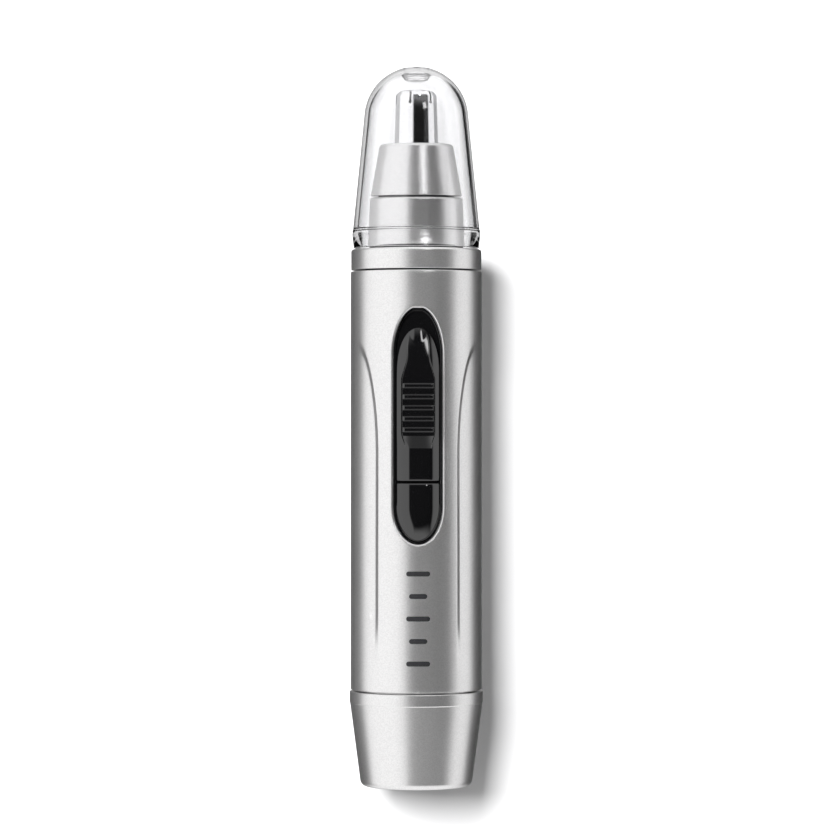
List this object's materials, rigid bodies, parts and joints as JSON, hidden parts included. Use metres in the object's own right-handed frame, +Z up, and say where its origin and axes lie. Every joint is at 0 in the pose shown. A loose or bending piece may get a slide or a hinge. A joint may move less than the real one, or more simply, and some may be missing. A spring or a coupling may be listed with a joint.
{
  "type": "nose hair trimmer",
  "caption": "Slim battery nose hair trimmer with a clear push-on cap, a slotted rotary cutting head, a thumb slide switch and a twist-off battery cap.",
  "frame": {"origin": "centre of the flat base of the battery cap", "axes": "+Z up the body towards the cutting head, -Y out of the side with the switch, +X to the right of someone facing the switch"},
  "size_m": [0.0258, 0.0267, 0.1394],
  "materials": {
    "satin_silver": "satin metallic silver lacquer with a fine flake, on moulded ABS",
    "clear_plastic": "clear moulded plastic",
    "guard_chrome": "polished",
    "blade_steel": "ground",
    "spring_steel": "drawn wire",
    "gloss_black": "piano black",
    "frame_black": "moulded",
    "plastic_natural": "unpigmented acetal",
    "rubber_black": "matte",
    "contact_brass": "stamped",
    "contact_nickel": "nickel plated",
    "screw_steel": "zinc plated",
    "motor_steel": "zinc plated",
    "magnet_grey": "sintered ferrite",
    "copper": "enamelled copper",
    "cell_metal": "plated can",
    "cell_print": "printed film"
  },
  "bodies": {
    "casing": {"body_casing": "satin_silver", "switch_bezel": "gloss_black", "switch_strip": "contact_brass", "negative_strip": "contact_nickel", "positive_contact": "contact_nickel", "chassis": "frame_black", "neck_plate": "frame_black", "motor_screws": "screw_steel", "motor_can": "motor_steel", "motor_bearing": "contact_brass", "motor_magnets": "magnet_grey", "motor_end_cap": "frame_black", "motor_terminals": "contact_brass"},
    "lock_ring": {"lock_ring": "satin_silver"},
    "head": {"head_base": "satin_silver", "head_cone": "satin_silver", "guard_tube": "guard_chrome", "head_seal": "rubber_black", "head_bush": "plastic_natural"},
    "blade": {"inner_blade": "blade_steel", "blade_holder": "plastic_natural", "blade_spring": "spring_steel", "retaining_clip": "spring_steel"},
    "clear_cap": {"protective_cap": "clear_plastic"},
    "rotor": {"motor_shaft": "blade_steel", "rotor_core": "motor_steel", "rotor_windings": "copper", "commutator": "copper", "drive_coupler": "plastic_natural"},
    "switch": {"switch_slider": "gloss_black", "switch_bridge": "contact_brass"},
    "cell": {"aa_cell": "cell_metal", "cell_jacket": "cell_print"},
    "battery_cap": {"battery_cap": "satin_silver", "battery_spring": "spring_steel", "cap_contact_plate": "contact_nickel", "battery_seal": "rubber_black"}
  },
  "joints": [
    {"name": "lock_ring_twist", "type": "hinge", "parent": "casing", "child": "lock_ring", "pos_m": [0, 0, 0.102], "axis": [0, 0, 1], "range_deg": [0, 30]},
    {"name": "head_lift", "type": "slide", "parent": "casing", "child": "head", "axis": [0, 0, 1], "range_m": [0, 0.02]},
    {"name": "cap_pull", "type": "slide", "parent": "head", "child": "clear_cap", "axis": [0, 0, 1], "range_m": [0, 0.04]},
    {"name": "blade_spin", "type": "hinge", "parent": "head", "child": "blade", "pos_m": [0, 0, 0.12], "axis": [0, 0, 1], "continuous": true},
    {"name": "motor_spin", "type": "hinge", "parent": "casing", "child": "rotor", "pos_m": [0, 0, 0.08], "axis": [0, 0, 1], "continuous": true},
    {"name": "switch_slide", "type": "slide", "parent": "casing", "child": "switch", "axis": [0, 0, 1], "range_m": [0, 0.003]},
    {"name": "battery_pull", "type": "slide", "parent": "casing", "child": "cell", "axis": [0, 0, -1], "range_m": [0, 0.05]},
    {"name": "battery_cap_twist", "type": "hinge", "parent": "cell", "child": "battery_cap", "pos_m": [0, 0, 0.01], "axis": [0, 0, -1], "range_deg": [0, 30]}
  ],
  "couplings": [
    {"joint": "blade_spin", "follows": "motor_spin", "ratio": 1}
  ]
}
